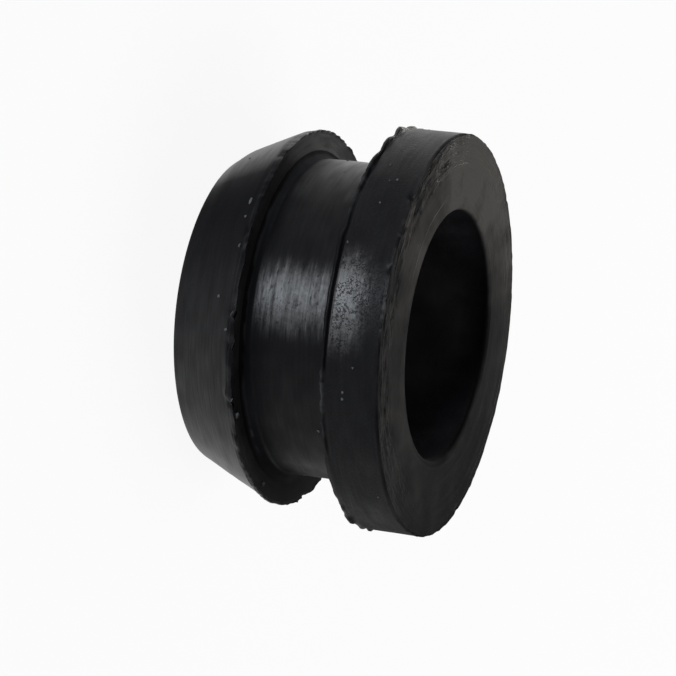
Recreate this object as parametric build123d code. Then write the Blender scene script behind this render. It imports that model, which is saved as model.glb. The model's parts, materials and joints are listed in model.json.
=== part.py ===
from build123d import *

import math
import os

# Rubber grommet that snaps into a wheel rim's valve hole and leaves a smaller hole for the valve.
# It is moulded in one piece: a thick flange, a neck that the rim's sheet closes round, and a barb
# that tapers to the small end. It stands on its small end, with +Z along the bore to the flange.

# Driving dimensions, in millimetres
BORE_DIAMETER = 16.0
NECK_WALL = 2.25
FLANGE_LIP = 2.6
BARB_LIP = 1.9
SMALL_END_WALL = 1.95
FLANGE_THICKNESS = 3.55
GROOVE_WIDTH = 6.3
BARB_LENGTH = 4.85

# Edges as the mould leaves them
NECK_FILLET = 0.5
MOUTH_ROUND = 0.3
FLANGE_EDGE_BREAK = 0.15
SMALL_END_BREAK = 0.25

# Flash left where the mould's halves meet, torn off unevenly. A wave is its count round the
# mould and its phase in radians, and the power leaves a few long tabs on a short fringe.
FLASH_THICKNESS = 0.14
FLASH_LEAST = 0.03
FLASH_MOST = 0.24
FLASH_POWER = 2
FLASH_POINTS = 120
FLANGE_FLASH_WAVES = ((8, 1.5), (12, 1.7), (22, 1.2))
BARB_FLASH_WAVES = ((6, 0.4), (14, 2.1), (20, 4.0))

# The most of a wall or a face that one rounded or broken edge may take
EDGE_SHARE = 0.45

# Radii and heights that follow, with heights from the small end's face
bore_radius = BORE_DIAMETER / 2
neck_radius = bore_radius + NECK_WALL
flange_radius = neck_radius + FLANGE_LIP
barb_radius = neck_radius + BARB_LIP
small_end_radius = bore_radius + SMALL_END_WALL
shoulder_height = BARB_LENGTH
flange_back_height = shoulder_height + GROOVE_WIDTH
total_height = flange_back_height + FLANGE_THICKNESS


def at_most(size, *spans):
    """An edge's size, held to its share of the shortest span that it is cut from."""
    return min(size, EDGE_SHARE * min(spans))


def section():
    """Half of the outer section, still without its bore, with the neck's two corners filleted."""
    outline = Polyline(
        (0, 0),
        (small_end_radius, 0),
        (barb_radius, shoulder_height),
        (neck_radius, shoulder_height),
        (neck_radius, flange_back_height),
        (flange_radius, flange_back_height),
        (flange_radius, total_height),
        (0, total_height),
        close=True,
    )
    face = make_face(outline)
    neck_corners = [v for v in face.vertices() if math.isclose(v.X, neck_radius, abs_tol=1e-6)]
    corner_radius = at_most(NECK_FILLET, GROOVE_WIDTH, BARB_LIP, FLANGE_LIP)
    return Plane.XZ * fillet(neck_corners, corner_radius)


def flash(edge_radius, bottom_height, waves):
    """Thin disc whose rim stands proud of edge_radius by an amount that wanders round the mould."""
    points = []
    for step in range(FLASH_POINTS):
        angle = 2 * math.pi * step / FLASH_POINTS
        swing = sum(math.sin(count * angle + phase) for count, phase in waves) / len(waves)
        share = (0.5 + 0.5 * swing) ** FLASH_POWER
        radius = edge_radius + FLASH_LEAST + (FLASH_MOST - FLASH_LEAST) * share
        points.append((radius * math.cos(angle), radius * math.sin(angle)))
    outline = make_face(Spline(*points, periodic=True))
    return Pos(0, 0, bottom_height) * extrude(outline, FLASH_THICKNESS)


def circle_edge(solid, radius, height):
    """The solid's round edge of this radius at this height."""
    return next(
        edge
        for edge in solid.edges().filter_by(GeomType.CIRCLE)
        if math.isclose(edge.radius, radius, abs_tol=1e-6)
        and math.isclose(edge.arc_center.Z, height, abs_tol=1e-6)
    )


def reducer_grommet():
    """The whole moulding: turned body, broken outer edges, bore, flash and rounded mouths."""
    body = revolve(section(), Axis.Z)
    small_end_edge = circle_edge(body, small_end_radius, 0)
    body = chamfer(small_end_edge, at_most(SMALL_END_BREAK, SMALL_END_WALL, BARB_LENGTH))
    front_edge = circle_edge(body, flange_radius, total_height)
    body = chamfer(front_edge, at_most(FLANGE_EDGE_BREAK, FLANGE_LIP, FLANGE_THICKNESS))
    body += flash(flange_radius, flange_back_height, FLANGE_FLASH_WAVES)
    body += flash(barb_radius, shoulder_height - FLASH_THICKNESS, BARB_FLASH_WAVES)
    body -= extrude(Circle(bore_radius), total_height)
    back_mouth = circle_edge(body, bore_radius, 0)
    body = chamfer(back_mouth, at_most(SMALL_END_BREAK, SMALL_END_WALL, BARB_LENGTH))
    front_mouth = circle_edge(body, bore_radius, total_height)
    return fillet(front_mouth, at_most(MOUTH_ROUND, NECK_WALL, FLANGE_THICKNESS))


os.makedirs("parts", exist_ok=True)
export_step(reducer_grommet(), "parts/reducer_grommet.step")
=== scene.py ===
import json
import math

import bpy
import numpy as np
from mathutils import Matrix, Vector


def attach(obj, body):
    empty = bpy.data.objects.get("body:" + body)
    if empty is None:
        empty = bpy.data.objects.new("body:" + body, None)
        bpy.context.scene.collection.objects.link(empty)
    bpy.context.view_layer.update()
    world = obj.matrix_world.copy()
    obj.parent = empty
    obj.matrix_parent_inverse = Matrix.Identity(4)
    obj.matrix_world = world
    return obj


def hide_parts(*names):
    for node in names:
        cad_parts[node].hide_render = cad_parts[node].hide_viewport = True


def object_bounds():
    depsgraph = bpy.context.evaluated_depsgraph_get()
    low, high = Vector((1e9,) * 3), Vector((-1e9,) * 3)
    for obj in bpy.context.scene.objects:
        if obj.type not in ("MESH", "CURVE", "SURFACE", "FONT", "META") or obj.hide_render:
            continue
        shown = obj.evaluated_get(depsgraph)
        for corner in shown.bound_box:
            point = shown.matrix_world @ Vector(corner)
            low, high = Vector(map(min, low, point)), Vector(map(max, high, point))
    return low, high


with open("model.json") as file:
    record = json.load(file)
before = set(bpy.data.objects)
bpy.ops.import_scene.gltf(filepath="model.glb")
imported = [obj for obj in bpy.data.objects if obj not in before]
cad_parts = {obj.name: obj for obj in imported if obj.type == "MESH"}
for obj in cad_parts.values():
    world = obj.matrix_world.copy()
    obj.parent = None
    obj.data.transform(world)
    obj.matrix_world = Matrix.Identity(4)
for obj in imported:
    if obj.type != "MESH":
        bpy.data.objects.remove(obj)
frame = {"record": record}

cad_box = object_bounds()

# Sizes of the moulding are in millimetres until a mesh, a lamp or the camera is made
MM = 0.001

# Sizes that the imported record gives
NODE = "reducer_grommet"
mounts = {mount["name"]: mount for mount in frame["record"]["mounts"]}
bore_radius = mounts["bore"]["dims"]["r_mm"]
neck_radius = mounts["rim_groove"]["dims"]["r_mm"]
groove_width = mounts["rim_groove"]["dims"]["length_mm"]
groove_middle = mounts["rim_groove"]["pos_m"][2] / MM
total_height = cad_box[1].z / MM
box_half_x = cad_box[1].x / MM
box_half_y = cad_box[1].y / MM

# The section's other sizes, each within 0.05 mm of the solid's
FLANGE_LIP = 2.6
BARB_LIP = 1.9
SMALL_END_WALL = 1.95
NECK_FILLET = 0.5
ROOT_FILLET = 0.55
MOUTH_ROUND = 0.32
FLANGE_EDGE_ROUND = 0.12
SMALL_END_ROUND = 0.25

# The neck was moulded a little off the bore's axis, towards -X
NECK_SHIFT = 0.16

flange_radius = neck_radius + FLANGE_LIP
barb_radius = neck_radius + BARB_LIP
small_end_radius = bore_radius + SMALL_END_WALL
shoulder_height = groove_middle - groove_width / 2
flange_back_height = groove_middle + groove_width / 2

# The camera, fitted to the photograph's outlines: it looks a little down on the moulding from its -Y
# side and is rolled, so that the bore's axis lies across the picture
LENS = 137.4
SENSOR = 36.0
CAMERA_AIM = (1.024, 0.0, 7.213)
CAMERA_DISTANCE = 166.4
CAMERA_ELEVATION = 20.467
CAMERA_ROLL = 97.175


def straight(start, end, count):
    """Points along a straight run of the section, without its last."""
    share = np.arange(count) / count
    return np.outer(1 - share, start) + np.outer(share, end)


def rounded(centre, radius, first_degrees, last_degrees, count):
    """Points along a rounded corner of the section, without its last."""
    turns = np.radians(first_degrees + (last_degrees - first_degrees) * np.arange(count) / count)
    return np.array(centre) + radius * np.column_stack([np.cos(turns), np.sin(turns)])


class Section:
    """The closed outline that is turned round the bore, as named runs of (radius, height) points."""

    def __init__(self):
        self.points = []
        self.names = []

    def run(self, name, points):
        self.points.extend(points)
        self.names.extend([name] * len(points))

    def finish(self):
        self.points = np.array(self.points)
        self.names = np.array(self.names)
        ahead = np.roll(self.points, -1, axis=0)
        behind = np.roll(self.points, 1, axis=0)
        along = ahead - behind
        along /= np.linalg.norm(along, axis=1)[:, None]
        self.normals = np.column_stack([along[:, 1], -along[:, 0]])
        steps = np.linalg.norm(ahead - self.points, axis=1)
        self.lengths = np.concatenate([[0], np.cumsum(steps)[:-1]])
        return self

    def on(self, *names):
        """1 on the named runs' points and 0 elsewhere."""
        return np.isin(self.names, names).astype(float)


# The flange's fin of flash, how far in from the rim it stands, and how far the groove that parts it
# from the rim goes in
FIN_THICKNESS = 0.16
FIN_INSET = 0.06
FIN_GROOVE = 0.34

# Heights over the flange's back, from the fin's outer wall across the groove to the rim's foot
FIN_WALL_HEIGHT = 0.06
FIN_SIDE_HEIGHT = 0.09
FIN_GROOVE_HEIGHT = 0.14
RIM_FOOT_HEIGHT = 0.22

# How far below the shoulder the barb's lip starts, and the points of its fin lie
BARB_LIP_DEPTH = 0.3
BARB_FIN_DEPTHS = (0.1, 0.02, 0)

# Centres of the section's rounded corners, as (radius, height)
root_corner = (neck_radius + ROOT_FILLET, shoulder_height + ROOT_FILLET)
neck_top_corner = (neck_radius + NECK_FILLET, flange_back_height - NECK_FILLET)
front_corner = (flange_radius - FLANGE_EDGE_ROUND, total_height - FLANGE_EDGE_ROUND)
mouth_corner = (bore_radius + MOUTH_ROUND, total_height - MOUTH_ROUND)
back_mouth_corner = (bore_radius + SMALL_END_ROUND, SMALL_END_ROUND)


def add_barb(section):
    """The small end, the cone that widens from it, and the barb's lip, fin and shoulder."""
    taper = math.atan((barb_radius - small_end_radius) / shoulder_height)
    small_end_centre = small_end_radius + SMALL_END_ROUND * (math.tan(taper) - 1 / math.cos(taper))
    cone_foot = (
        small_end_centre + SMALL_END_ROUND * math.cos(taper),
        SMALL_END_ROUND * (1 - math.sin(taper)),
    )
    lip_foot_height = shoulder_height - BARB_LIP_DEPTH
    lip_foot = (small_end_radius + math.tan(taper) * lip_foot_height, lip_foot_height)
    section.run("small_end", straight((back_mouth_corner[0], 0), (small_end_centre, 0), 3))
    section.run(
        "small_end_edge",
        rounded((small_end_centre, SMALL_END_ROUND), SMALL_END_ROUND, -90, -math.degrees(taper), 3),
    )
    section.run("cone", straight(cone_foot, lip_foot, 26))
    section.run("barb_lip", [lip_foot, (barb_radius - 0.08, shoulder_height - 0.17)])
    section.run("barb_fin", [(barb_radius, shoulder_height - depth) for depth in BARB_FIN_DEPTHS])
    section.run("barb_foot", [(barb_radius - 0.12, shoulder_height - 0.01)])
    shoulder_start = (barb_radius - 0.2, shoulder_height)
    section.run("shoulder", straight(shoulder_start, (root_corner[0], shoulder_height), 9))


def add_neck(section):
    """The neck, with a fillet at its root and one under the flange."""
    section.run("neck_root", rounded(root_corner, ROOT_FILLET, 270, 180, 7))
    neck_start = (neck_radius, root_corner[1])
    section.run("neck", straight(neck_start, (neck_radius, neck_top_corner[1]), 27))
    section.run("neck_top", rounded(neck_top_corner, NECK_FILLET, 180, 90, 4))


def add_flange(section):
    """The flange's back, its fin of flash, the groove beside the fin, the rim and the front edge."""
    fin_inner = flange_radius - FIN_INSET - FIN_THICKNESS
    fin_outer = fin_inner + FIN_THICKNESS
    fin_tip_height = flange_back_height - 0.01
    back_start = (neck_top_corner[0], flange_back_height)
    section.run("flange_back", straight(back_start, (fin_inner, flange_back_height), 3))
    section.run("fin_foot", [(fin_inner, flange_back_height)])
    section.run("flange_fin", [(fin_inner + 0.02, fin_tip_height), (fin_outer, fin_tip_height)])
    section.run("fin_wall", [(fin_outer, flange_back_height + FIN_WALL_HEIGHT)])
    half_way_in = flange_radius - 0.5 * FIN_GROOVE
    section.run("fin_side", [(half_way_in, flange_back_height + FIN_SIDE_HEIGHT)])
    section.run("fin_groove", [(flange_radius - FIN_GROOVE, flange_back_height + FIN_GROOVE_HEIGHT)])
    rim_foot = (flange_radius, flange_back_height + RIM_FOOT_HEIGHT)
    section.run("rim", straight(rim_foot, (flange_radius, front_corner[1]), 21))
    section.run("front_edge", rounded(front_corner, FLANGE_EDGE_ROUND, 0, 90, 5))


def add_front_and_bore(section):
    """The front face, and the bore with its two rounded mouths."""
    face_start = (front_corner[0], total_height)
    section.run("front_face", straight(face_start, (mouth_corner[0], total_height), 28))
    section.run("mouth", rounded(mouth_corner, MOUTH_ROUND, 90, 180, 5))
    bore_start = (bore_radius, mouth_corner[1])
    section.run("bore", straight(bore_start, (bore_radius, back_mouth_corner[1]), 8))
    section.run("back_mouth", rounded(back_mouth_corner, SMALL_END_ROUND, 180, 270, 3))


def grommet_section():
    """The moulding's section, from its small end along the outside to the front face and the bore."""
    section = Section()
    add_barb(section)
    add_neck(section)
    add_flange(section)
    add_front_and_bore(section)
    return section.finish()


# The turned surface's fine form. Angles are round the bore, 0 on +X and -90 on the camera's side.

# How many columns the skin has, each of them the section at one angle
AROUND = 600
angles = np.linspace(-math.pi, math.pi, AROUND, endpoint=False)


def eased(share):
    """A smooth step from 0 to 1."""
    share = np.clip(share, 0, 1)
    return share * share * (3 - 2 * share)


def apart(degrees):
    """How many degrees each column of the skin is from this angle."""
    return (np.degrees(angles) - degrees + 180) % 360 - 180


def wander(cells, seed):
    """Smooth noise round the ring, -1 to 1, with this many cells to a turn."""
    values = np.random.default_rng(seed).uniform(-1, 1, cells)
    place = (angles / (2 * math.pi) + 0.5) * cells
    low = np.floor(place).astype(int)
    share = eased(place - low)
    return values[low % cells] * (1 - share) + values[(low + 1) % cells] * share


def mottle(cells_around, lengths, cell_length, seed):
    """Smooth noise over the whole skin, -1 to 1, in cells round the ring and along the section."""
    rows = int(lengths.max() / cell_length) + 3
    values = np.random.default_rng(seed).uniform(-1, 1, (cells_around, rows))
    place = (angles / (2 * math.pi) + 0.5) * cells_around
    low = np.floor(place).astype(int)
    share = eased(place - low)[:, None]
    across = lengths / cell_length
    row = np.floor(across).astype(int)
    row_share = eased(across - row)[None, :]
    near = values[low % cells_around]
    far = values[(low + 1) % cells_around]
    blend = near * (1 - share) + far * share
    return blend[:, row] * (1 - row_share) + blend[:, row + 1] * row_share


def marks(features):
    """Sum of smooth bumps round the ring, from (angle, half width in degrees, size)."""
    total = np.zeros(AROUND)
    for centre, half_width, size in features:
        total += size * eased(1 - np.abs(apart(centre)) / half_width)
    return total


def round_the_ring(anchors, column=1):
    """Values between anchors of (angle, values), at every column of the skin."""
    at = [anchor[0] for anchor in anchors]
    values = [anchor[column] for anchor in anchors]
    return np.interp(np.degrees(angles), at, values, period=360)


# Torn flash, as (angle, half width in degrees, millimetres): how far a fin reaches out past its edge,
# and how far the flange's fin hangs into the groove or the barb's fin stands up over the shoulder
FLANGE_REACH = (
    (-163, 7, 0.32),
    (-172, 5, 0.16),
    (179, 4, 0.10),
    (-152, 7, 0.24),
    (-141, 7, 0.22),
    (-27, 3, 0.08),
    (-18, 4, 0.22),
    (-8, 3.5, 0.12),
    (-1, 4, 0.20),
    (6, 4, 0.12),
    (35, 4, 0.15),
    (88, 6, 0.12),
    (131, 3, 0.2),
)
FLANGE_HANG = (
    (-163, 7, 0.06),
    (-134, 7, 0.08),
    (-112, 5, 0.05),
    (-74, 4, 0.03),
    (-62, 2, 0.05),
    (-21, 3, 0.10),
    (52, 6, 0.12),
    (104, 8, 0.10),
    (150, 5, 0.12),
)
BARB_REACH = (
    (-64, 3.5, 0.10),
    (-30, 3, 0.06),
    (11, 3, 0.05),
    (23, 3, 0.08),
    (97, 4, 0.12),
    (160, 5, 0.08),
)
BARB_RISE = (
    (-104, 5, 0.07),
    (-88, 34, 0.10),
    (-78, 14, 0.08),
    (-49, 3, -0.05),
    (17, 2.5, -0.08),
    (60, 5, 0.08),
    (140, 4, 0.06),
)

# Where the flange's fin is crumbly, and where flash fills the groove beside it
CRUMBLY_FLASH = ((-68, 22, 0.7), (-133, 12, 0.5), (45, 30, 0.7), (120, 30, 0.5))
FILLED_GROOVE = (
    (-163, 30, 0.28),
    (-124, 18, 0.18),
    (-64, 30, 0.28),
    (-38, 24, 0.28),
    (-14, 30, 0.28),
    (90, 30, 0.15),
)

# Where the cone and the flange stand out a little more, as the moulding isn't quite round
CONE_SWELL = ((-152, 60, 0.24),)
FLANGE_SWELL = ((105, 75, 0.10), (22, 40, 0.07))

# Bites out of the skin, or lumps on it where the depth is below zero, as (angle, half width in
# degrees, radius, height, spread, depth)
BARB_BITES = (
    (-88, 2.0, barb_radius, shoulder_height, 0.30, 0.26),
    (-61.0, 1.8, barb_radius + 0.05, shoulder_height, 0.22, 0.26),
    (-64.5, 3.0, barb_radius - 0.1, shoulder_height - 0.3, 0.22, -0.16),
    (-79.0, 2.0, barb_radius, shoulder_height - 0.2, 0.25, 0.12),
    (-113.0, 2.4, barb_radius, shoulder_height - 0.1, 0.2, 0.10),
    (71, 2.6, barb_radius, shoulder_height, 0.25, 0.2),
)
EDGE_BITES = (
    (-127.5, 2.4, flange_radius, total_height - 0.1, 0.24, 0.22),
    (-105.3, 1.7, flange_radius, total_height - 0.05, 0.2, 0.16),
    (-96.8, 1.6, flange_radius, total_height - 0.1, 0.2, 0.16),
    (-62, 1.5, flange_radius, total_height - 0.1, 0.18, 0.07),
    (28, 2.0, flange_radius, total_height - 0.1, 0.2, 0.14),
    (138, 1.6, flange_radius, total_height - 0.1, 0.2, 0.12),
)


def bites(section, places):
    """Millimetres taken off the skin by small chips."""
    total = np.zeros((AROUND, len(section.points)))
    for centre, half_width, radius, height, spread, depth in places:
        round_share = eased(1 - np.abs(apart(centre)) / half_width)
        distance = np.hypot(section.points[:, 0] - radius, section.points[:, 1] - height)
        total += depth * np.outer(round_share, np.exp(-((distance / spread) ** 2)))
    return total


def skin_detail(section):
    """Millimetres that the skin stands out along its normal, at each angle and section point."""
    lengths = section.lengths
    rolls = 0.012 * mottle(9, lengths, 2.2, 11) + 0.006 * mottle(31, lengths, 0.9, 12)
    out = rolls * section.on("cone", "neck", "rim", "front_face", "shoulder", "flange_back")
    streaks = 0.005 * mottle(40, lengths, 0.42, 13) + 0.004 * mottle(14, lengths, 0.42, 14)
    out += streaks * section.on("cone", "neck")
    pocks = np.clip(mottle(260, lengths, 0.35, 15) - 0.45, 0, 1)
    out -= 0.02 * pocks * section.on("rim")
    on_cone = section.on("cone") + 0.5 * section.on("barb_lip")
    out += np.outer(marks(CONE_SWELL), eased(section.points[:, 1] / 1.4) * on_cone)
    out += np.outer(marks(FLANGE_SWELL), section.on("rim", "front_edge"))
    edge = 0.03 * wander(70, 17) + 0.025 * wander(190, 18)
    return out + np.outer(edge, section.on("front_edge"))


def neck_root_seam(section):
    """A fine raised seam round the neck's root, broken in places."""
    across = np.exp(-(((section.points[:, 1] - shoulder_height - 0.2) / 0.1) ** 2))
    across *= section.on("neck_root")
    height = 0.02 + 0.02 * wander(50, 21) + 0.02 * wander(130, 22) + marks(((-40, 12, 0.03),))
    height *= 1 - marks(((-150, 60, 1.0),))
    return np.outer(height, across)


# The front face is rough from about this radius outwards
FACE_RING_RADIUS = 10.6

# How rough the front face's outer ring is, as (angle, strength)
FACE_ROUGHNESS = (
    (-180, 0.04),
    (-168, 0.2),
    (-156, 0.9),
    (-60, 1.0),
    (-42, 0.35),
    (-20, 0.06),
    (0, 0.0),
    (60, 0.0),
    (140, 0.2),
    (165, 0.05),
)


def rough_map(section):
    """Where the front face is rough."""
    wander_out = 0.35 * wander(11, 35) + 0.2 * wander(37, 36)
    across = section.points[None, :, 0] - FACE_RING_RADIUS - wander_out[:, None]
    strength = round_the_ring(FACE_ROUGHNESS)[:, None]
    return strength * eased(across / 0.5) * section.on("front_face")[None, :]


def face_rings(section):
    """Rough rings round the front face's outer part, a little lower than the ring next to the bore."""
    lengths = section.lengths
    ridges = 0.8 * mottle(50, lengths, 0.36, 31) + 0.5 * mottle(150, lengths, 0.33, 32)
    rings = 0.8 * mottle(9, lengths, 0.36, 33)
    inner = eased((section.points[:, 0] - bore_radius - 0.8) / 0.4) * section.on("front_face")
    arcs = 0.006 * mottle(9, lengths, 0.33, 34) * inner[None, :]
    return arcs - 0.06 * (1 + ridges + rings) * rough_map(section)


def fringe(least, seed, crumbly):
    """How far a torn fin stands out, round the ring."""
    slow = 0.35 * wander(29, seed) + 0.35 * wander(75, seed + 1)
    quick = 0.5 * wander(170, seed + 2) + 0.5 * wander(300, seed + 3)
    return least * (1 + slow + crumbly * quick)


def moulded_skin():
    """The section and the whole skin's points in millimetres."""
    section = grommet_section()
    out = skin_detail(section) + neck_root_seam(section) + face_rings(section)
    out -= bites(section, BARB_BITES) + bites(section, EDGE_BITES)
    radius = section.points[None, :, 0] + out * section.normals[None, :, 0]
    height = section.points[None, :, 1] + out * section.normals[None, :, 1]

    crumbly = 0.3 + marks(CRUMBLY_FLASH)
    flange_reach = fringe(0.05, 51, crumbly) + marks(FLANGE_REACH)
    flange_hang = fringe(0.14, 55, crumbly) + marks(FLANGE_HANG)
    groove_fill = np.minimum(marks(FILLED_GROOVE), 0.3) + 0.06 * wander(60, 59)
    fin_side = section.on("fin_side")
    radius += np.outer(flange_reach, section.on("flange_fin", "fin_wall") + 0.5 * fin_side)
    radius += np.outer(groove_fill, section.on("fin_groove") + 0.5 * fin_side)
    hanging = section.on("flange_fin") + 0.4 * section.on("fin_wall", "fin_side")
    height -= np.outer(flange_hang, hanging)

    barb_reach = fringe(0.05, 61, 1.0) + marks(BARB_REACH)
    barb_rise = np.maximum(fringe(0.09, 65, 1.0) + marks(BARB_RISE), -0.05)
    radius += np.outer(barb_reach, section.on("barb_fin") + 0.3 * section.on("barb_lip"))
    height[:, np.flatnonzero(section.on("barb_fin"))[-2:]] += barb_rise[:, None]

    # The skin stays inside the solid's box
    limit = np.minimum(
        box_half_x / np.maximum(np.abs(np.cos(angles)), 1e-6),
        box_half_y / np.maximum(np.abs(np.sin(angles)), 1e-6),
    )
    radius = np.minimum(radius, limit[:, None])
    height = np.clip(height, 0, total_height)
    across = radius * np.cos(angles)[:, None]
    away = radius * np.sin(angles)[:, None]
    shifted = section.on("neck") + 0.5 * section.on("neck_root", "neck_top")
    across -= NECK_SHIFT * shifted[None, :]
    return section, np.stack([across, away, height], axis=-1)


# Wear and dirt over the skin, with painted sheen, a painted highlight, painted shade and painted
# light, each from 0 for none to about 1

# Painted sheen: how much the skin mirrors round the ring apart from its smears, set to brighten or
# darken its reflections, as (angle, strength). From one angle to the next the strength changes evenly.
NECK_PAINTED_SHEEN = (
    (-180, 0.9),
    (-168, 0.85),
    (-156, 0.6),
    (-144, 0.32),
    (-132, 0.15),
    (-76, 0.08),
    (-60, 0.18),
    (-36, 0.2),
    (-24, 0.3),
    (-12, 0.1),
    (90, 0.1),
    (140, 0.3),
)
RIM_PAINTED_SHEEN = (
    (-180, 0.5),
    (-156, 0.42),
    (-144, 0.26),
    (-132, 0.13),
    (-76, 0.1),
    (-48, 0.16),
    (-24, 0.2),
    (-12, 0.05),
    (90, 0.1),
    (140, 0.3),
)
CONE_PAINTED_SHEEN = (
    (-180, 0.8),
    (-152, 1.0),
    (-143, 0.6),
    (-136, 0.02),
    (-108, 0.04),
    (-96, 0.14),
    (-72, 0.33),
    (-48, 0.45),
    (-24, 0.8),
    (20, 0.6),
    (60, 0.2),
    (120, 0.3),
)
EDGE_PAINTED_SHEEN = ((-125, 0.0), (-108, 0.12), (-92, 0.12), (-78, 0.0))
SHOULDER_PAINTED_SHEEN = (
    (-180, 1.0),
    (-160, 0.9),
    (-140, 0.4),
    (-60, 0.6),
    (-40, 0.35),
    (-20, 0.15),
    (0, 0.0),
    (140, 0.1),
    (160, 0.8),
)
BORE_PAINTED_SHEEN = (
    (-90, 0.2),
    (15, 0.75),
    (30, 0.5),
    (50, 0.2),
    (75, 0.1),
    (100, 0.18),
    (120, 0.3),
    (140, 0.7),
    (165, 0.8),
)

# Painted shade in the corner: how much painted sheen the neck loses near its root, as (angle, half
# width in degrees, share)
ROOT_PAINTED_SHADE = ((-150, 75, 0.4),)


def filled_groove():
    """How far flash fills the groove beside the flange's fin."""
    return np.clip(marks(FILLED_GROOVE) / 0.2 + 0.25 * wander(110, 73), 0, 1)


def painted_sheen_map(section):
    """Painted sheen: where the rubber mirrors more, so that its reflections come out brighter there.
    """
    patchy = np.clip(0.6 + 1.2 * wander(160, 74), 0, 1.5)
    total = np.outer(round_the_ring(NECK_PAINTED_SHEEN), section.on("neck"))
    # Painted shade: the sheen fades beside the neck's root, where the corner lies in shade
    near_root = 1 - eased((section.points[:, 1] - shoulder_height - 0.2) / 1.0)
    total *= 1 - np.outer(marks(ROOT_PAINTED_SHADE), near_root)
    total += np.outer(round_the_ring(RIM_PAINTED_SHEEN), section.on("rim"))
    on_flash = section.on("flange_fin", "fin_side", "fin_groove")
    total += np.outer(filled_groove() * round_the_ring(RIM_PAINTED_SHEEN), on_flash)
    total += np.outer(round_the_ring(RIM_PAINTED_SHEEN), section.on("fin_wall"))
    total += np.outer(patchy * round_the_ring(EDGE_PAINTED_SHEEN), section.on("front_edge"))
    total += np.outer(round_the_ring(CONE_PAINTED_SHEEN), section.on("cone"))
    total += np.outer(patchy * round_the_ring(CONE_PAINTED_SHEEN), 0.5 * section.on("barb_lip", "barb_fin"))
    total += np.outer(round_the_ring(SHOULDER_PAINTED_SHEEN), section.on("shoulder", "barb_foot"))
    below_mouth = eased((total_height - 0.6 - section.points[:, 1]) / 1.2)
    total += np.outer(round_the_ring(BORE_PAINTED_SHEEN), below_mouth * section.on("bore"))
    return total * (1 + 0.25 * mottle(60, section.lengths, 0.6, 70))


# Burnished smears, as (run, angle, half width in degrees, lowest and highest place, how far the
# smear fades at each, strength). The neck's and the rim's smears at about -95 degrees are a painted
# highlight, shaped where the front lamp's reflection falls; the others are smears.
SMEARS_AND_PAINTED_HIGHLIGHT = (
    ("neck", -94.9, 10.8, 4.6, 12.2, 2.6, 3.4, 1.0),
    ("rim", -95.6, 11, 10.6, 13.9, 0.8, 2.0, 1.0),
    ("neck", 64, 13, 5.2, 11.4, 1.4, 1.4, 0.9),
    ("rim", 68, 15, 11.0, 13.9, 0.8, 1.3, 0.9),
    ("neck", 152, 9, 6.4, 11.2, 0.8, 1.2, 0.6),
    ("rim", 20, 9, 12.0, 14.2, 0.8, 1.0, 0.6),
    ("cone", 97, 16, 1.2, 3.9, 0.8, 0.8, 0.6),
)

# How many degrees the side of a smear or the painted highlight takes to fade, and how far its ragged
# edge wanders
SMEAR_AND_HIGHLIGHT_EDGE = 11.0
SMEAR_AND_HIGHLIGHT_RAG = 1.3


def smear_and_highlight_map(section):
    """Where handling has burnished the rubber, in smears with ragged ends, and the painted highlight.
    """
    total = np.zeros((AROUND, len(section.points)))
    rag = mottle(24, section.lengths, 0.45, 71) + 0.7 * mottle(60, section.lengths, 0.24, 72)
    heights = section.points[:, 1]
    for run, degrees, half_width, lowest, highest, low_fade, high_fade, strength in SMEARS_AND_PAINTED_HIGHLIGHT:
        rising = eased((heights - lowest) / low_fade)
        falling = eased((highest - heights) / high_fade)
        within = section.on(run) * rising * falling
        distance = np.abs(apart(degrees))[:, None] + SMEAR_AND_HIGHLIGHT_RAG * rag
        inside = eased((half_width + SMEAR_AND_HIGHLIGHT_EDGE / 2 - distance) / SMEAR_AND_HIGHLIGHT_EDGE)
        total = np.maximum(total, strength * inside * within[None, :])
    return total


# Where dust lies and the skin is dull, as (angle, half width in degrees, strength)
DULL_SIDE = ((-15, 50, 1.0), (110, 50, 0.4))
DULL_CONE = ((-123, 20, 1.0),)


def dull_map(section):
    """Where the rubber is at its dullest: the corners, the bore and one side."""
    total = np.outer(marks(DULL_SIDE), section.on("neck", "rim"))
    total += np.outer(marks(DULL_CONE), section.on("cone"))
    corners = section.on("neck_root", "neck_top", "shoulder", "bore", "mouth", "front_edge")
    total = np.maximum(total, 0.9 * corners[None, :])
    bare_groove = np.outer(0.9 * (1 - filled_groove()), section.on("fin_groove", "fin_side"))
    return np.maximum(total, bare_groove)


# Grey bloom on the front face, with painted light: its strength round the ring makes the face lighter
# on its -X side and darker on its +X side, as (angle, next to the bore, next to the edge)
FACE_BLOOM_AND_PAINTED_LIGHT = (
    (-180, 1.05, 0.95),
    (-160, 0.92, 0.82),
    (-143, 0.44, 0.22),
    (-120, 0.5, 0.38),
    (-100, 0.42, 0.2),
    (-80, 0.3, 0.12),
    (-50, 0.3, 0.1),
    (-20, 0.15, 0.06),
    (20, 0.04, 0.0),
    (50, 0.0, 0.02),
    (80, 0.02, 0.24),
    (100, 0.06, 0.3),
    (120, 0.28, 0.68),
    (140, 0.52, 0.95),
    (158, 1.2, 1.15),
)

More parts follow.
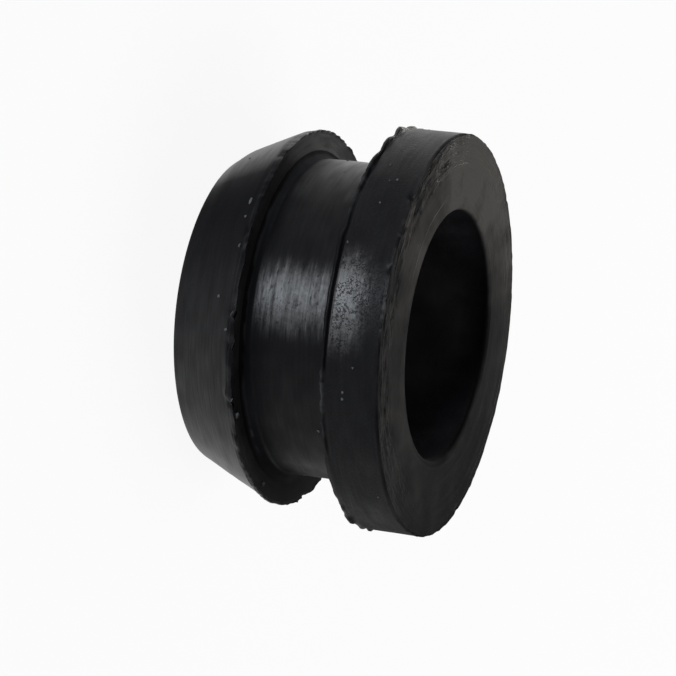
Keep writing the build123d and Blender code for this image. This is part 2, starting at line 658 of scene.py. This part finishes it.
# Painted light on the front edge, the shoulder, the neck's root and the bore: grey that lightens their
# lit sides and lifts their shade, as (angle, strength)
EDGE_PAINTED_LIGHT = (
    (-180, 0.5),
    (-165, 0.2),
    (-80, 0.08),
    (-62, 0.02),
    (-40, 0.1),
    (20, 0.1),
    (60, 0.3),
    (110, 0.6),
    (160, 0.9),
)
SHOULDER_PAINTED_LIGHT = (
    (-180, 0.4),
    (-145, 0.45),
    (-105, 0.6),
    (-80, 0.8),
    (-58, 0.65),
    (-40, 0.3),
    (-28, 0.1),
    (140, 0.1),
)
ROOT_PAINTED_LIGHT = (
    (-180, 0.5),
    (-165, 0.3),
    (-150, 0.14),
    (-110, 0.0),
    (-72, 0.0),
    (-50, 0.1),
    (10, 0.14),
    (140, 0.2),
)
BORE_PAINTED_LIGHT = ((-90, 0.1), (30, 0.16), (50, 0.12), (98, 0.05), (140, 0.16), (180, 0.1))

# More painted light: a painted reflection at the bore's front mouth, and lighter grey on the barb's
# fin on its -X side, as (angle, half width in degrees, strength)
MOUTH_PAINTED_REFLECTION = ((50, 38, 0.2),)
FIN_PAINTED_LIGHT = ((-172, 32, 0.6),)


def bloom_and_painted_light_map(section):
    """Where the rubber has a grey bloom, and painted light on its lit sides and in its shade."""
    across = np.clip((section.points[:, 0] - bore_radius) / (flange_radius - bore_radius), 0, 1)
    inner = np.outer(round_the_ring(FACE_BLOOM_AND_PAINTED_LIGHT, 1), 1 - across)
    outer = np.outer(round_the_ring(FACE_BLOOM_AND_PAINTED_LIGHT, 2), across)
    heights = section.points[:, 1]
    mouth = eased((heights - total_height + MOUTH_ROUND) / MOUTH_ROUND) * section.on("mouth")
    total = (inner + outer) * (section.on("front_face") + mouth)[None, :]
    total += np.outer(marks(MOUTH_PAINTED_REFLECTION), mouth)
    root_foot = 1 - eased((heights - shoulder_height) / (0.4 * ROOT_FILLET))
    on_shoulder = section.on("shoulder", "barb_foot") + 0.35 * root_foot * section.on("neck_root")
    total += np.outer(round_the_ring(SHOULDER_PAINTED_LIGHT), on_shoulder)
    total += np.outer(marks(FIN_PAINTED_LIGHT), section.on("barb_fin"))
    total += np.outer(round_the_ring(ROOT_PAINTED_LIGHT), section.on("neck_root"))
    patchy_edge = round_the_ring(EDGE_PAINTED_LIGHT) * (1 + 0.9 * wander(47, 86))
    total += np.outer(patchy_edge, section.on("front_edge"))
    near_mouth = eased((heights - total_height + 3.2) / 3) * section.on("bore")
    total += np.outer(round_the_ring(BORE_PAINTED_LIGHT), section.on("bore"))
    return total + np.outer(marks(MOUTH_PAINTED_REFLECTION), near_mouth)


# Where the flange's torn flash, the front edge and the neck's seam show pale, as (angle, half width
# in degrees, strength)
PALE_FLASH = (
    (-165, 16, 1.0),
    (-133, 16, 0.7),
    (-70, 17, 1.0),
    (-50, 8, 0.6),
    (40, 25, 0.6),
    (120, 30, 0.6),
)
PALE_EDGE = ((-104, 26, 1.0), (60, 40, 0.6))
PALE_SEAM = ((-40, 12, 1.0), (75, 20, 0.8))


def torn_map(section):
    """Where the flash, the front edge and the neck's seam are torn and crumbly."""
    flange = np.clip(marks(PALE_FLASH) * (0.2 + 0.9 * wander(140, 81) + 1.2 * wander(300, 84)), 0, 1)
    barb = np.clip(0.35 * wander(60, 82) + 0.4 * wander(170, 83), 0, 1)
    edge = np.clip(marks(PALE_EDGE) * (2.4 * wander(300, 87) + 0.8 * wander(90, 88) - 0.6), 0, 1.5)
    seam = np.clip(marks(PALE_SEAM) * (0.3 + 1.2 * wander(300, 85)), 0, 1)
    above_seam = section.points[:, 1] - shoulder_height - 0.12
    on_seam = np.exp(-((above_seam / 0.05) ** 2)) * section.on("neck_root")
    total = np.outer(flange, section.on("flange_fin") + 0.5 * section.on("fin_wall", "fin_side"))
    total += np.outer(barb, section.on("barb_fin"))
    total += np.outer(edge, section.on("front_edge"))
    return total + np.outer(seam, on_seam)


def mesh_object(name, points, faces):
    """A smooth-shaded object from points in millimetres, riding on the part's one body."""
    mesh = bpy.data.meshes.new(name)
    mesh.from_pydata((np.asarray(points) * MM).tolist(), [], faces)
    mesh.polygons.foreach_set("use_smooth", [True] * len(mesh.polygons))
    mesh.update()
    made = bpy.data.objects.new(name, mesh)
    bpy.context.scene.collection.objects.link(made)
    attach(made, "root")
    return made


def moulded_grommet(section, skin):
    """The moulding itself, which stands for the solid."""
    count = len(section.points)
    column = np.arange(AROUND)[:, None] * count
    next_column = np.roll(column, -1, axis=0)
    row = np.arange(count)[None, :]
    next_row = np.roll(row, -1, axis=1)
    corners = [column + row, next_column + row, next_column + next_row, column + next_row]
    faces = np.stack(corners, axis=-1).reshape(-1, 4).tolist()
    made = mesh_object("moulded_grommet", skin.reshape(-1, 3), faces)
    # Three of these maps carry painted sheen, a painted highlight and painted light
    wear = {
        "sheen": painted_sheen_map,
        "smear": smear_and_highlight_map,
        "dull": dull_map,
        "rough": rough_map,
        "bloom": bloom_and_painted_light_map,
        "torn": torn_map,
    }
    for name, worn in wear.items():
        layer = made.data.attributes.new(name, "FLOAT", "POINT")
        layer.data.foreach_set("value", worn(section).reshape(-1))
    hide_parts(NODE)
    return made


# Crumbs of rubber left on the skin, as (run, angle, radius or height, long and short half size)
CRUMBS = (
    ("cone", -123.8, 4.19, 0.20, 0.09),
    ("cone", -117.9, 4.27, 0.11, 0.08),
    ("cone", -108.7, 4.50, 0.12, 0.08),
    ("cone", -92.7, 3.52, 0.10, 0.09),
    ("cone", -83.1, 4.50, 0.12, 0.10),
    ("rim", -111.8, 11.46, 0.09, 0.07),
    ("rim", -134.1, 13.21, 0.10, 0.08),
    ("rim", -77.7, 13.08, 0.08, 0.06),
    ("rim", -71.1, 12.49, 0.09, 0.06),
    ("rim", -69.1, 12.43, 0.09, 0.07),
    ("neck", -46.8, 9.55, 0.11, 0.09),
    ("rim", -36.7, 13.94, 0.08, 0.06),
    ("shoulder", -55.6, 11.6, 0.24, 0.23),
    ("shoulder", -19.5, 11.4, 0.20, 0.16),
    ("barb_fin", -63.0, 4.85, 0.14, 0.08),
)

# Loose crumbs on the other sides: how many, between which angles, their short half size, and the
# runs that they lie on, each with its lowest and highest place
LOOSE_CRUMBS = 34
LOOSE_CRUMB_ANGLES = (-20, 235)
LOOSE_CRUMB_SIZES = (0.03, 0.075)
LOOSE_CRUMB_RUNS = (("cone", 1.0, 4.6), ("rim", 11.6, 14.2), ("neck", 5.6, 10.4))

# Rings and segments of the ball that each crumb is bent from, and how flat it lies
SPHERE_RINGS = 7
SPHERE_SEGMENTS = 12
CRUMB_FLATNESS = 0.7


def crumb(centre, normal, along, long_size, short_size, seed):
    """One irregular crumb, half sunk into the skin, as points and faces."""
    noise = np.random.default_rng(seed)
    normal = normal / np.linalg.norm(normal)
    along = along - normal * along.dot(normal)
    along /= np.linalg.norm(along)
    side = np.cross(normal, along)
    lobes = noise.normal(size=(3, 3)) * 2.5
    phases = noise.uniform(0, 2 * math.pi, 3)
    points = []
    for ring in range(SPHERE_RINGS + 1):
        polar = math.pi * ring / SPHERE_RINGS
        for segment in range(SPHERE_SEGMENTS if 0 < ring < SPHERE_RINGS else 1):
            turn = 2 * math.pi * segment / SPHERE_SEGMENTS
            flat = math.sin(polar)
            unit = np.array([flat * math.cos(turn), flat * math.sin(turn), math.cos(polar)])
            swell = 1 + 0.2 * np.sin(lobes @ unit + phases).sum()
            place = along * unit[0] * long_size + side * unit[1] * short_size
            points.append(centre + swell * (place + normal * (unit[2] * short_size * CRUMB_FLATNESS)))
    faces = []
    ring_start = [0] + [1 + SPHERE_SEGMENTS * ring for ring in range(SPHERE_RINGS)]
    last = len(points) - 1
    for segment in range(SPHERE_SEGMENTS):
        beside = (segment + 1) % SPHERE_SEGMENTS
        faces.append((0, ring_start[1] + segment, ring_start[1] + beside))
        for ring in range(1, SPHERE_RINGS - 1):
            upper, lower = ring_start[ring], ring_start[ring + 1]
            faces.append((upper + segment, lower + segment, lower + beside, upper + beside))
        bottom = ring_start[SPHERE_RINGS - 1]
        faces.append((bottom + segment, last, bottom + beside))
    return points, faces


def moulding_crumbs(section, skin):
    """Crumbs on the skin where the photograph shows them, and a few on the other sides."""
    noise = np.random.default_rng(91)
    crumbs = list(CRUMBS)
    for _ in range(LOOSE_CRUMBS):
        run, lowest, highest = LOOSE_CRUMB_RUNS[noise.integers(len(LOOSE_CRUMB_RUNS))]
        size = noise.uniform(*LOOSE_CRUMB_SIZES)
        degrees = noise.uniform(*LOOSE_CRUMB_ANGLES)
        crumbs.append((run, degrees, noise.uniform(lowest, highest), size * 1.25, size))
    all_points = []
    all_faces = []
    for index, (run, degrees, level, long_size, short_size) in enumerate(crumbs):
        column = int(np.argmin(np.abs(apart(degrees))))
        along_run = np.flatnonzero(section.on(run))
        measure = section.points[along_run, 0 if run == "shoulder" else 1]
        row = along_run[int(np.argmin(np.abs(measure - level)))]
        next_column = (column + 1) % AROUND
        along = skin[next_column, row] - skin[column, row]
        rising = skin[column, row + 1] - skin[column, row]
        normal = np.cross(along, rising)
        points, faces = crumb(skin[column, row], normal, along, long_size, short_size, 200 + index)
        first = len(all_points)
        all_points.extend(points)
        all_faces.extend(tuple(first + corner for corner in face) for face in faces)
    return mesh_object("moulding_crumbs", all_points, all_faces)


# Shader maths


class Field:
    """A material's value that varies over the surface. Arithmetic on it adds Math nodes."""

    def __init__(self, recipe, socket):
        self.recipe = recipe
        self.socket = socket

    def _math(self, operation, *values):
        return self.recipe.node("ShaderNodeMath", {"operation": operation}, dict(enumerate(values)))

    def __add__(self, other):
        return self._math("ADD", self, other)

    def __radd__(self, other):
        return self._math("ADD", other, self)

    def __sub__(self, other):
        return self._math("SUBTRACT", self, other)

    def __rsub__(self, other):
        return self._math("SUBTRACT", other, self)

    def __mul__(self, other):
        return self._math("MULTIPLY", self, other)

    def __rmul__(self, other):
        return self._math("MULTIPLY", other, self)

    def __truediv__(self, other):
        return self._math("DIVIDE", self, other)

    def __pow__(self, other):
        return self._math("POWER", self, other)

    def most(self, other):
        return self._math("MAXIMUM", self, other)

    def least(self, other):
        return self._math("MINIMUM", self, other)

    def step(self, low, high):
        """0 below low, 1 above high and smooth between them."""
        settings = {"interpolation_type": "SMOOTHSTEP", "clamp": True}
        return self.recipe.node("ShaderNodeMapRange", settings, {"Value": self, 1: low, 2: high})


class Recipe:
    """One material, built from nodes."""

    def __init__(self, name):
        self.material = bpy.data.materials.new(name)
        self.material.use_nodes = True
        self.tree = self.material.node_tree
        self.tree.nodes.clear()

    def node(self, kind, settings, values, output=0):
        """Any node: its settings first, then its sockets' values or links, and one output."""
        made = self.tree.nodes.new(kind)
        for key, value in settings.items():
            setattr(made, key, value)
        for key, value in values.items():
            socket = made.inputs[key]
            if isinstance(value, Field):
                self.tree.links.new(value.socket, socket)
            else:
                socket.default_value = value
        return Field(self, made.outputs[output])

    def place(self):
        """The surface point's coordinates in millimetres."""
        spot = self.node("ShaderNodeTexCoord", {}, {}, "Object")
        parts = [self.node("ShaderNodeSeparateXYZ", {}, {0: spot}, axis) for axis in "XYZ"]
        return [part / MM for part in parts]

    def vector(self, x, y, z):
        return self.node("ShaderNodeCombineXYZ", {}, {0: x, 1: y, 2: z})

    def worn(self, name):
        """One of the skin's wear maps."""
        return self.node("ShaderNodeAttribute", {"attribute_name": name}, {}, "Fac")

    def noise(self, vector, scale, detail, roughness, **more):
        values = {"Vector": vector, "Scale": scale, "Detail": detail, "Roughness": roughness}
        settings = {"noise_dimensions": "4D"} if "W" in more else {}
        return self.node("ShaderNodeTexNoise", settings, {**values, **more})

    def mix(self, share, first, second):
        """A colour between two others."""
        settings = {"data_type": "RGBA", "clamp_factor": True}
        return self.node("ShaderNodeMix", settings, {0: share, 6: first, 7: second}, 2)

    def surface(self, shader):
        end = self.tree.nodes.new("ShaderNodeOutputMaterial")
        self.tree.links.new(shader.socket, end.inputs[0])
        return self.material


# The rubber's colours, and how much it mirrors where it is dull and where it is burnished
BLACK = (0.0042, 0.0042, 0.0050, 1)
# Grey of the front face's bloom and its painted light
BLOOM_AND_LIT_GREY = (0.083, 0.078, 0.072, 1)
TORN = (0.045, 0.045, 0.046, 1)
CRUMB_PALE = (0.085, 0.088, 0.092, 1)
CRUMB_DARK = (0.045, 0.045, 0.047, 1)
# Greys of the painted light off the front face and in the bore
COOL_BLOOM_AND_LIT_GREY = (0.066, 0.065, 0.070, 1)
BORE_PAINTED_LIGHT_COLOUR = (0.062, 0.058, 0.080, 1)
DULL_MIRROR = 0.03
BURNISHED_MIRROR = 0.75
BURNISHED_ROUGHNESS = 0.42

# How high the skin's relief stands or how deep it goes, in millimetres
GRAIN_RELIEF = 0.006
SCRATCH_RELIEF = 0.010
STREAK_RELIEF = 0.012
RIM_PIT_DEPTH = 0.014
FACE_PIT_DEPTH = 0.08
ROUGH_RING_RELIEF = 0.07
CREST_HEIGHT = 0.05
CRUMB_RELIEF = 0.03

# Raised lines round the front face, as (radius, angle, half width in degrees), and half a line's
# width in millimetres
FACE_LINES = ((12.1, -119, 20), (9.2, -132, 24), (11.3, -75, 22), (10.9, -160, 20), (12.2, 60, 25))
FACE_LINE_HALF_WIDTH = 0.07

# Heights of the scratches round the neck, and half a scratch's width in millimetres
SCRATCH_HEIGHTS = (6.53, 8.79, 9.43)
SCRATCH_HALF_WIDTH = 0.05

# Burnishing lines run round the ring, so that a reflection spreads along the bore's axis
LINES_ACROSS = {"Anisotropic": 0.7, "Anisotropic Rotation": 0.25}


class BlackRubber(Recipe):
    """Matte black rubber: round scratches, grain, pits, smears, grey bloom, painted sheen, highlight
    and light.
    """

    def __init__(self):
        super().__init__("black_moulded_rubber")
        self.x, self.y, self.z = self.place()
        self.radius = (self.x * self.x + self.y * self.y) ** 0.5
        spot = self.vector(self.x, self.y, self.z)

        self.on_face = self.z.step(total_height - 0.2, total_height - 0.05)
        past_fin = self.z.step(flange_back_height + 0.2, flange_back_height + 0.3)
        self.on_rim = past_fin * (1 - self.on_face)
        near_bore = 1 - self.radius.step(bore_radius + 0.05, bore_radius + 0.2)
        self.in_bore = near_bore * (1 - self.z.step(total_height - 0.7, total_height - 0.35))
        self.rough_ring = self.worn("rough")

        self.grain = self.noise(spot, 7.0, 3.0, 0.6)
        self.grit = self.noise(spot, 3.0, 4.0, 0.7)
        self.blotch = self.noise(spot, 0.5, 3.0, 0.55)
        self.cloud = self.noise(spot, 0.22, 1.0, 0.5)
        self.bands = self.round_streaks(2.2, 1.7, 2.0)
        self.streaks = self.round_streaks(5.0, 4.5, 3.0)
        self.scratches = self.round_streaks(9.0, 10.0, 3.0)
        self.specks = self.round_streaks(26.0, 6.0, 2.0).step(0.60, 0.68)
        clusters = self.noise(spot, 1.3, 2.0, 0.5).step(0.36, 0.52)
        self.pits = self.noise(spot, 7.5, 2.0, 0.6).step(0.52, 0.58) * clusters
        self.sparkle = self.noise(spot, 11.0, 1.0, 0.5).step(0.62, 0.72) * self.on_rim
        self.face_pits = self.round_streaks(12.0, 3.6, 2.0).step(0.54, 0.64) * self.rough_ring
        self.crests = self.raised_lines()

    def round_streaks(self, turns, fineness, detail):
        """Noise drawn out round the ring, fine along the height and along the radius."""
        across = self.x / self.radius * turns
        away = self.y / self.radius * turns
        vector = self.vector(across, away, self.z * fineness)
        return self.noise(vector, 1.0, detail, 0.6, W=self.radius * fineness)

    def raised_lines(self):
        """Crests all over the front face's rough ring, and a few long lines round the face."""
        ridge = self.round_streaks(3.0, 2.6, 1.0) - 0.5
        crests = (1 - ridge * ridge * 900).most(0) * self.rough_ring
        broken = (2.6 * self.streaks - 0.4).most(0)
        for line_radius, degrees, half_width in FACE_LINES:
            turn = math.radians(degrees)
            facing = (self.x * math.cos(turn) + self.y * math.sin(turn)) / self.radius
            line_end = math.cos(math.radians(half_width))
            near = facing.step(line_end, math.cos(math.radians(0.4 * half_width)))
            wavy_radius = self.radius - line_radius + 0.5 * (self.bands - 0.5)
            off_line = wavy_radius / FACE_LINE_HALF_WIDTH
            line = (1 - off_line * off_line).most(0) * near * self.on_face
            crests = crests + line * broken
        return crests

    def relief(self):
        """Normals bent by the grain, the scratches, the pits and the raised lines."""
        height = self.grain * GRAIN_RELIEF + self.scratches * SCRATCH_RELIEF
        height = height + self.streaks * STREAK_RELIEF - self.pits * self.on_rim * RIM_PIT_DEPTH
        height = height - self.face_pits * FACE_PIT_DEPTH
        height = height + self.rough_ring * self.streaks * ROUGH_RING_RELIEF
        height = height + self.crests * CREST_HEIGHT
        return self.node("ShaderNodeBump", {}, {"Strength": 1.0, "Distance": MM, "Height": height})

    def colour(self, torn):
        """Black, lightened in wisps by grey bloom and painted light, and with pale torn flash."""
        along_ring = (0.4 + 4.0 * self.rough_ring) * (self.streaks - 0.5)
        wisps = 2.0 * (self.blotch - 0.5) + along_ring + 1.2 * self.crests
        # Grey from the bloom map: bloom on the front face, painted light there and elsewhere
        bloom = self.worn("bloom") + 0.25 * self.on_face * (self.blotch - 0.5)
        bloom = bloom * (1 + wisps).most(0) * (1 - 0.9 * self.face_pits)
        bloom_and_light_colour = self.mix(self.on_face, COOL_BLOOM_AND_LIT_GREY, BLOOM_AND_LIT_GREY)
        bloom_and_light_colour = self.mix(self.in_bore, bloom_and_light_colour, BORE_PAINTED_LIGHT_COLOUR)
        bloomed_and_lit = self.mix(bloom, BLACK, bloom_and_light_colour)
        return self.mix(torn * (0.4 + 0.9 * self.grain), bloomed_and_lit, TORN)

    def smear_and_highlight_lines(self):
        """Lines and sparkle in a smear or the painted highlight, with the neck's scratches across
        them.
        """
        lines = 0.62 + 0.44 * self.on_rim + 1.3 * (self.bands - 0.5)
        lines = lines + 0.9 * (self.streaks - 0.5) + 0.9 * (self.scratches - 0.5)
        lines = lines + 1.3 * (self.grit - 0.5) + 0.8 * self.sparkle
        for height in SCRATCH_HEIGHTS:
            off_line = (self.z - height + 0.06 * (self.streaks - 0.5)) / SCRATCH_HALF_WIDTH
            lines = lines * (1 - 0.45 * (1 - off_line * off_line).most(0))
        return lines

    def shine(self):
        """How shiny the skin is: cloudy painted sheen, and smears and a painted highlight with ragged
        ends.
        """
        on_rim = self.on_rim
        streaks = self.streaks
        # Smears, and the painted highlight on the neck and the rim
        smear = self.worn("smear")
        ragged = on_rim * (0.6 * self.grit + 0.4 * streaks) + (1 - on_rim) * streaks
        burnished = (smear + 8.0 * (ragged - 0.5) * smear * (1 - smear)).most(0).least(1)
        marred = 1 - 0.7 * self.specks * (1 - on_rim) - 0.8 * self.pits * on_rim
        cloudy = self.in_bore * 3.0 * (self.cloud - 0.5) + (1 - self.in_bore) * 1.2 * (streaks - 0.5)
        # Painted sheen, in clouds
        soft = self.worn("sheen") * (1 + cloudy).most(0)
        return (soft + burnished * self.smear_and_highlight_lines() * marred).most(0).least(1)

    def finished(self):
        """The whole material: a matt skin and a burnished one, mixed by painted sheen, smears and
        highlight.
        """
        torn = self.worn("torn")
        skin = {"Base Color": self.colour(torn), "Normal": self.relief()}
        uneven = 0.40 + 0.08 * (self.blotch + self.grain - 1)
        matt = {
            "Roughness": uneven + 0.35 * self.worn("dull") + 0.15 * torn,
            "Specular IOR Level": DULL_MIRROR,
        }
        burnished = {
            "Roughness": BURNISHED_ROUGHNESS + 0.06 * (self.grain - 0.5),
            "Specular IOR Level": BURNISHED_MIRROR,
            **LINES_ACROSS,
        }
        matt_skin = self.node("ShaderNodeBsdfPrincipled", {}, {**skin, **matt})
        burnished_skin = self.node("ShaderNodeBsdfPrincipled", {}, {**skin, **burnished})
        parts = {0: self.shine(), 1: matt_skin, 2: burnished_skin}
        return self.surface(self.node("ShaderNodeMixShader", {}, parts))


def crumb_material():
    """Grey rubber dust, paler on some crumbs than on others."""
    crumbs = Recipe("grey_rubber_crumbs")
    x, y, z = crumbs.place()
    spot = crumbs.vector(x, y, z)
    tint = crumbs.noise(spot, 1.1, 1.0, 0.5).step(0.35, 0.65)
    grain = crumbs.noise(spot, 14.0, 2.0, 0.6)
    relief = {"Strength": 1.0, "Distance": MM, "Height": grain * CRUMB_RELIEF}
    normal = crumbs.node("ShaderNodeBump", {}, relief)
    shader = crumbs.node(
        "ShaderNodeBsdfPrincipled",
        {},
        {
            "Base Color": crumbs.mix(tint, CRUMB_DARK, CRUMB_PALE),
            "Roughness": 0.6 + 0.2 * grain,
            "Normal": normal,
            "Specular IOR Level": 0.3,
        },
    )
    return crumbs.surface(shader)


# The stage: pale floor, soft lamps and the camera

FLOOR_RADIUS = 1.45
BACKDROP_HEIGHT = 0.2
BACKDROP_SIDES = 96
FLOOR_COLOUR = (0.86, 0.86, 0.86, 1)
FLOOR_WHITENESS = 0.92


def floor_and_backdrop():
    """Pale round floor and a low wall far round it, nearly white to the camera and in reflections."""
    turns = [2 * math.pi * side / BACKDROP_SIDES for side in range(BACKDROP_SIDES)]
    rim = [(FLOOR_RADIUS * math.cos(turn), FLOOR_RADIUS * math.sin(turn)) for turn in turns]
    corners = [(x, y, 0) for x, y in rim] + [(x, y, BACKDROP_HEIGHT) for x, y in rim]
    faces = [tuple(range(BACKDROP_SIDES))]
    for side in range(BACKDROP_SIDES):
        beside = (side + 1) % BACKDROP_SIDES
        faces.append((beside, side, BACKDROP_SIDES + side, BACKDROP_SIDES + beside))
    mesh = bpy.data.meshes.new("floor_and_backdrop")
    mesh.from_pydata(corners, [], faces)
    made = bpy.data.objects.new("floor_and_backdrop", mesh)
    bpy.context.scene.collection.objects.link(made)
    pale = Recipe("pale_floor")
    lit = pale.node("ShaderNodeBsdfDiffuse", {}, {"Color": FLOOR_COLOUR})
    white = pale.node("ShaderNodeEmission", {}, {"Color": (1, 1, 1, 1), "Strength": 1.0})
    seen = pale.node("ShaderNodeLightPath", {}, {}, "Is Camera Ray")
    seen = seen.most(pale.node("ShaderNodeLightPath", {}, {}, "Is Glossy Ray"))
    seen = seen.most(pale.node("ShaderNodeLightPath", {}, {}, "Is Transmission Ray"))
    both = pale.node("ShaderNodeMixShader", {}, {0: seen * FLOOR_WHITENESS, 1: lit, 2: white})
    mesh.materials.append(pale.surface(both))


def direction(azimuth, elevation):
    """Unit vector from the object: azimuth 0 is the camera's side, -Y, and 90 is +X."""
    turn = math.radians(azimuth)
    rise = math.radians(elevation)
    return Vector((math.sin(turn) * math.cos(rise), -math.cos(turn) * math.cos(rise), math.sin(rise)))


# Soft lamps as (name, azimuth, elevation, distance, width, height, light on the object, colour).
# A light of 1 shows a facing surface at its written colour.
LAMPS = (
    ("front_low", -14, 0.6, 0.45, 0.15, 0.022, 0.72, (0.86, 0.92, 1.0)),
    ("back_left", -152, 7, 0.5, 0.24, 0.06, 0.12, (1.0, 0.98, 0.95)),
    ("left", -95, 8, 0.5, 0.2, 0.1, 0.1, (1, 1, 1)),
    ("overhead", 150, 60, 0.6, 0.4, 0.4, 0.72, (1, 1, 1)),
)
SURROUNDINGS = 0.12


def lamp(name, azimuth, elevation, distance, width, height, light, colour):
    """A soft rectangular lamp that faces the object."""
    data = bpy.data.lights.new(name, "AREA")
    data.shape = "RECTANGLE"
    data.size = width
    data.size_y = height
    data.color = colour
    data.energy = light * math.pi**2 * distance**2
    made = bpy.data.objects.new(name, data)
    bpy.context.scene.collection.objects.link(made)
    towards = direction(azimuth, elevation)
    made.location = Vector((0, 0, groove_middle * MM)) + towards * distance
    made.rotation_euler = towards.to_track_quat("Z", "Y").to_euler()


def surroundings(radiance):
    """Even pale surroundings."""
    made = bpy.data.worlds.new("studio")
    made.use_nodes = True
    backdrop = made.node_tree.nodes["Background"]
    backdrop.inputs["Color"].default_value = (1, 1, 1, 1)
    backdrop.inputs["Strength"].default_value = radiance
    bpy.context.scene.world = made


def camera():
    """The photograph's view."""
    data = bpy.data.cameras.new("camera")
    data.lens = LENS
    data.sensor_width = SENSOR
    data.clip_start = 0.01
    data.clip_end = 10
    made = bpy.data.objects.new("camera", data)
    bpy.context.scene.collection.objects.link(made)
    back = direction(0, CAMERA_ELEVATION)
    level_right = Vector((1, 0, 0))
    level_up = back.cross(level_right)
    roll = math.radians(CAMERA_ROLL)
    right = level_right * math.cos(roll) + level_up * math.sin(roll)
    up = level_up * math.cos(roll) - level_right * math.sin(roll)
    made.location = Vector(CAMERA_AIM) * MM + back * CAMERA_DISTANCE * MM
    made.rotation_mode = "QUATERNION"
    made.rotation_quaternion = Matrix((right, up, back)).transposed().to_quaternion()
    bpy.context.scene.camera = made


section, skin = moulded_skin()
moulded_grommet(section, skin).data.materials.append(BlackRubber().finished())
moulding_crumbs(section, skin).data.materials.append(crumb_material())
floor_and_backdrop()
surroundings(SURROUNDINGS)
for settings in LAMPS:
    lamp(*settings)
camera()
bpy.context.scene.view_settings.view_transform = "Standard"
